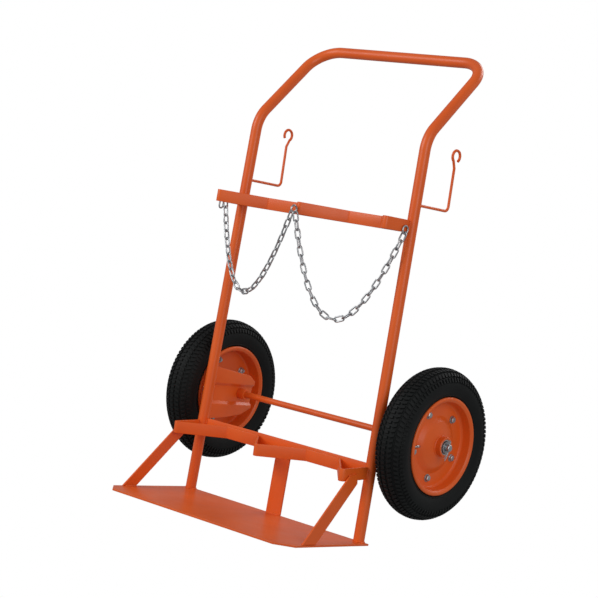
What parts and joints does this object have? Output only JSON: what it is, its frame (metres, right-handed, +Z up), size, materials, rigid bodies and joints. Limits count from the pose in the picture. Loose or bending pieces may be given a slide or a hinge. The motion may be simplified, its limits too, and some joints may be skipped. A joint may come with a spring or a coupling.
{
  "type": "gas cylinder hand cart",
  "caption": "Two-wheeled hand cart for a pair of gas cylinders: bent tube frame on a toe plate, zigzag cradle strips, retaining chains, hose hooks and pneumatic wheels.",
  "frame": {"origin": "on the floor under the middle of the cart's bounding box, with the cart standing upright on its toe plate", "axes": "+Z up, -Y the front, where the toe plate is, +Y the back, where the handle and wheels are, +X the cart's right as seen from the front"},
  "size_m": [0.772, 0.565, 1.1257],
  "materials": {
    "orange_paint": "gloss",
    "zinc_plate": "satin",
    "bright_steel": "satin",
    "tyre_rubber": "matte",
    "tube_rubber": "matte"
  },
  "bodies": {
    "frame": {"base_plate": "orange_paint", "main_frame_tube": "orange_paint", "upper_cradle_strip": "orange_paint", "lower_cradle_strip": "orange_paint", "upper_back_bar": "orange_paint", "lower_back_bar": "orange_paint", "center_upright": "orange_paint", "axle": "orange_paint", "center_chain_ring": "zinc_plate", "right_chain_ring": "zinc_plate", "left_chain_hook": "zinc_plate", "left_spare_link": "zinc_plate", "left_brace": "orange_paint", "left_axle_bracket": "orange_paint", "left_axle_boss": "orange_paint", "left_hose_hook": "orange_paint", "left_cotter_pin": "zinc_plate", "left_washer_outer": "zinc_plate", "left_spacer_inner": "zinc_plate", "right_brace": "orange_paint", "right_axle_bracket": "orange_paint", "right_axle_boss": "orange_paint", "right_hose_hook": "orange_paint", "right_cotter_pin": "zinc_plate", "right_washer_outer": "zinc_plate", "right_spacer_inner": "zinc_plate"},
    "left_wheel": {"left_tyre": "tyre_rubber", "left_inner_tube": "tube_rubber", "left_rim_outer": "orange_paint", "left_rim_inner": "orange_paint", "left_hub": "orange_paint", "left_bearing_outer": "bright_steel", "left_bearing_inner": "bright_steel", "left_valve_stem": "bright_steel", "left_rim_bolt_1": "zinc_plate", "left_rim_bolt_2": "zinc_plate", "left_rim_bolt_3": "zinc_plate", "left_rim_bolt_4": "zinc_plate", "left_rim_bolt_5": "zinc_plate"},
    "right_wheel": {"right_tyre": "tyre_rubber", "right_inner_tube": "tube_rubber", "right_rim_outer": "orange_paint", "right_rim_inner": "orange_paint", "right_hub": "orange_paint", "right_bearing_outer": "bright_steel", "right_bearing_inner": "bright_steel", "right_valve_stem": "bright_steel", "right_rim_bolt_1": "zinc_plate", "right_rim_bolt_2": "zinc_plate", "right_rim_bolt_3": "zinc_plate", "right_rim_bolt_4": "zinc_plate", "right_rim_bolt_5": "zinc_plate"},
    "left_chain_loop": {"left_chain": "zinc_plate"},
    "right_chain_loop": {"right_chain": "zinc_plate"}
  },
  "joints": [
    {"name": "left_wheel_spin", "type": "hinge", "parent": "frame", "child": "left_wheel", "pos_m": [-0.333, 0.1075, 0.244], "axis": [1, 0, 0], "continuous": true},
    {"name": "right_wheel_spin", "type": "hinge", "parent": "frame", "child": "right_wheel", "pos_m": [0.333, 0.1075, 0.244], "axis": [1, 0, 0], "continuous": true},
    {"name": "left_chain_swing", "type": "hinge", "parent": "frame", "child": "left_chain_loop", "pos_m": [0, -0.11525, 0.701], "axis": [0.9892, -0.1451, -0.0195], "range_deg": [-60, 30]},
    {"name": "right_chain_swing", "type": "hinge", "parent": "frame", "child": "right_chain_loop", "pos_m": [0, -0.11525, 0.701], "axis": [0.9601, 0.2792, -0.0145], "range_deg": [-60, 20]}
  ]
}
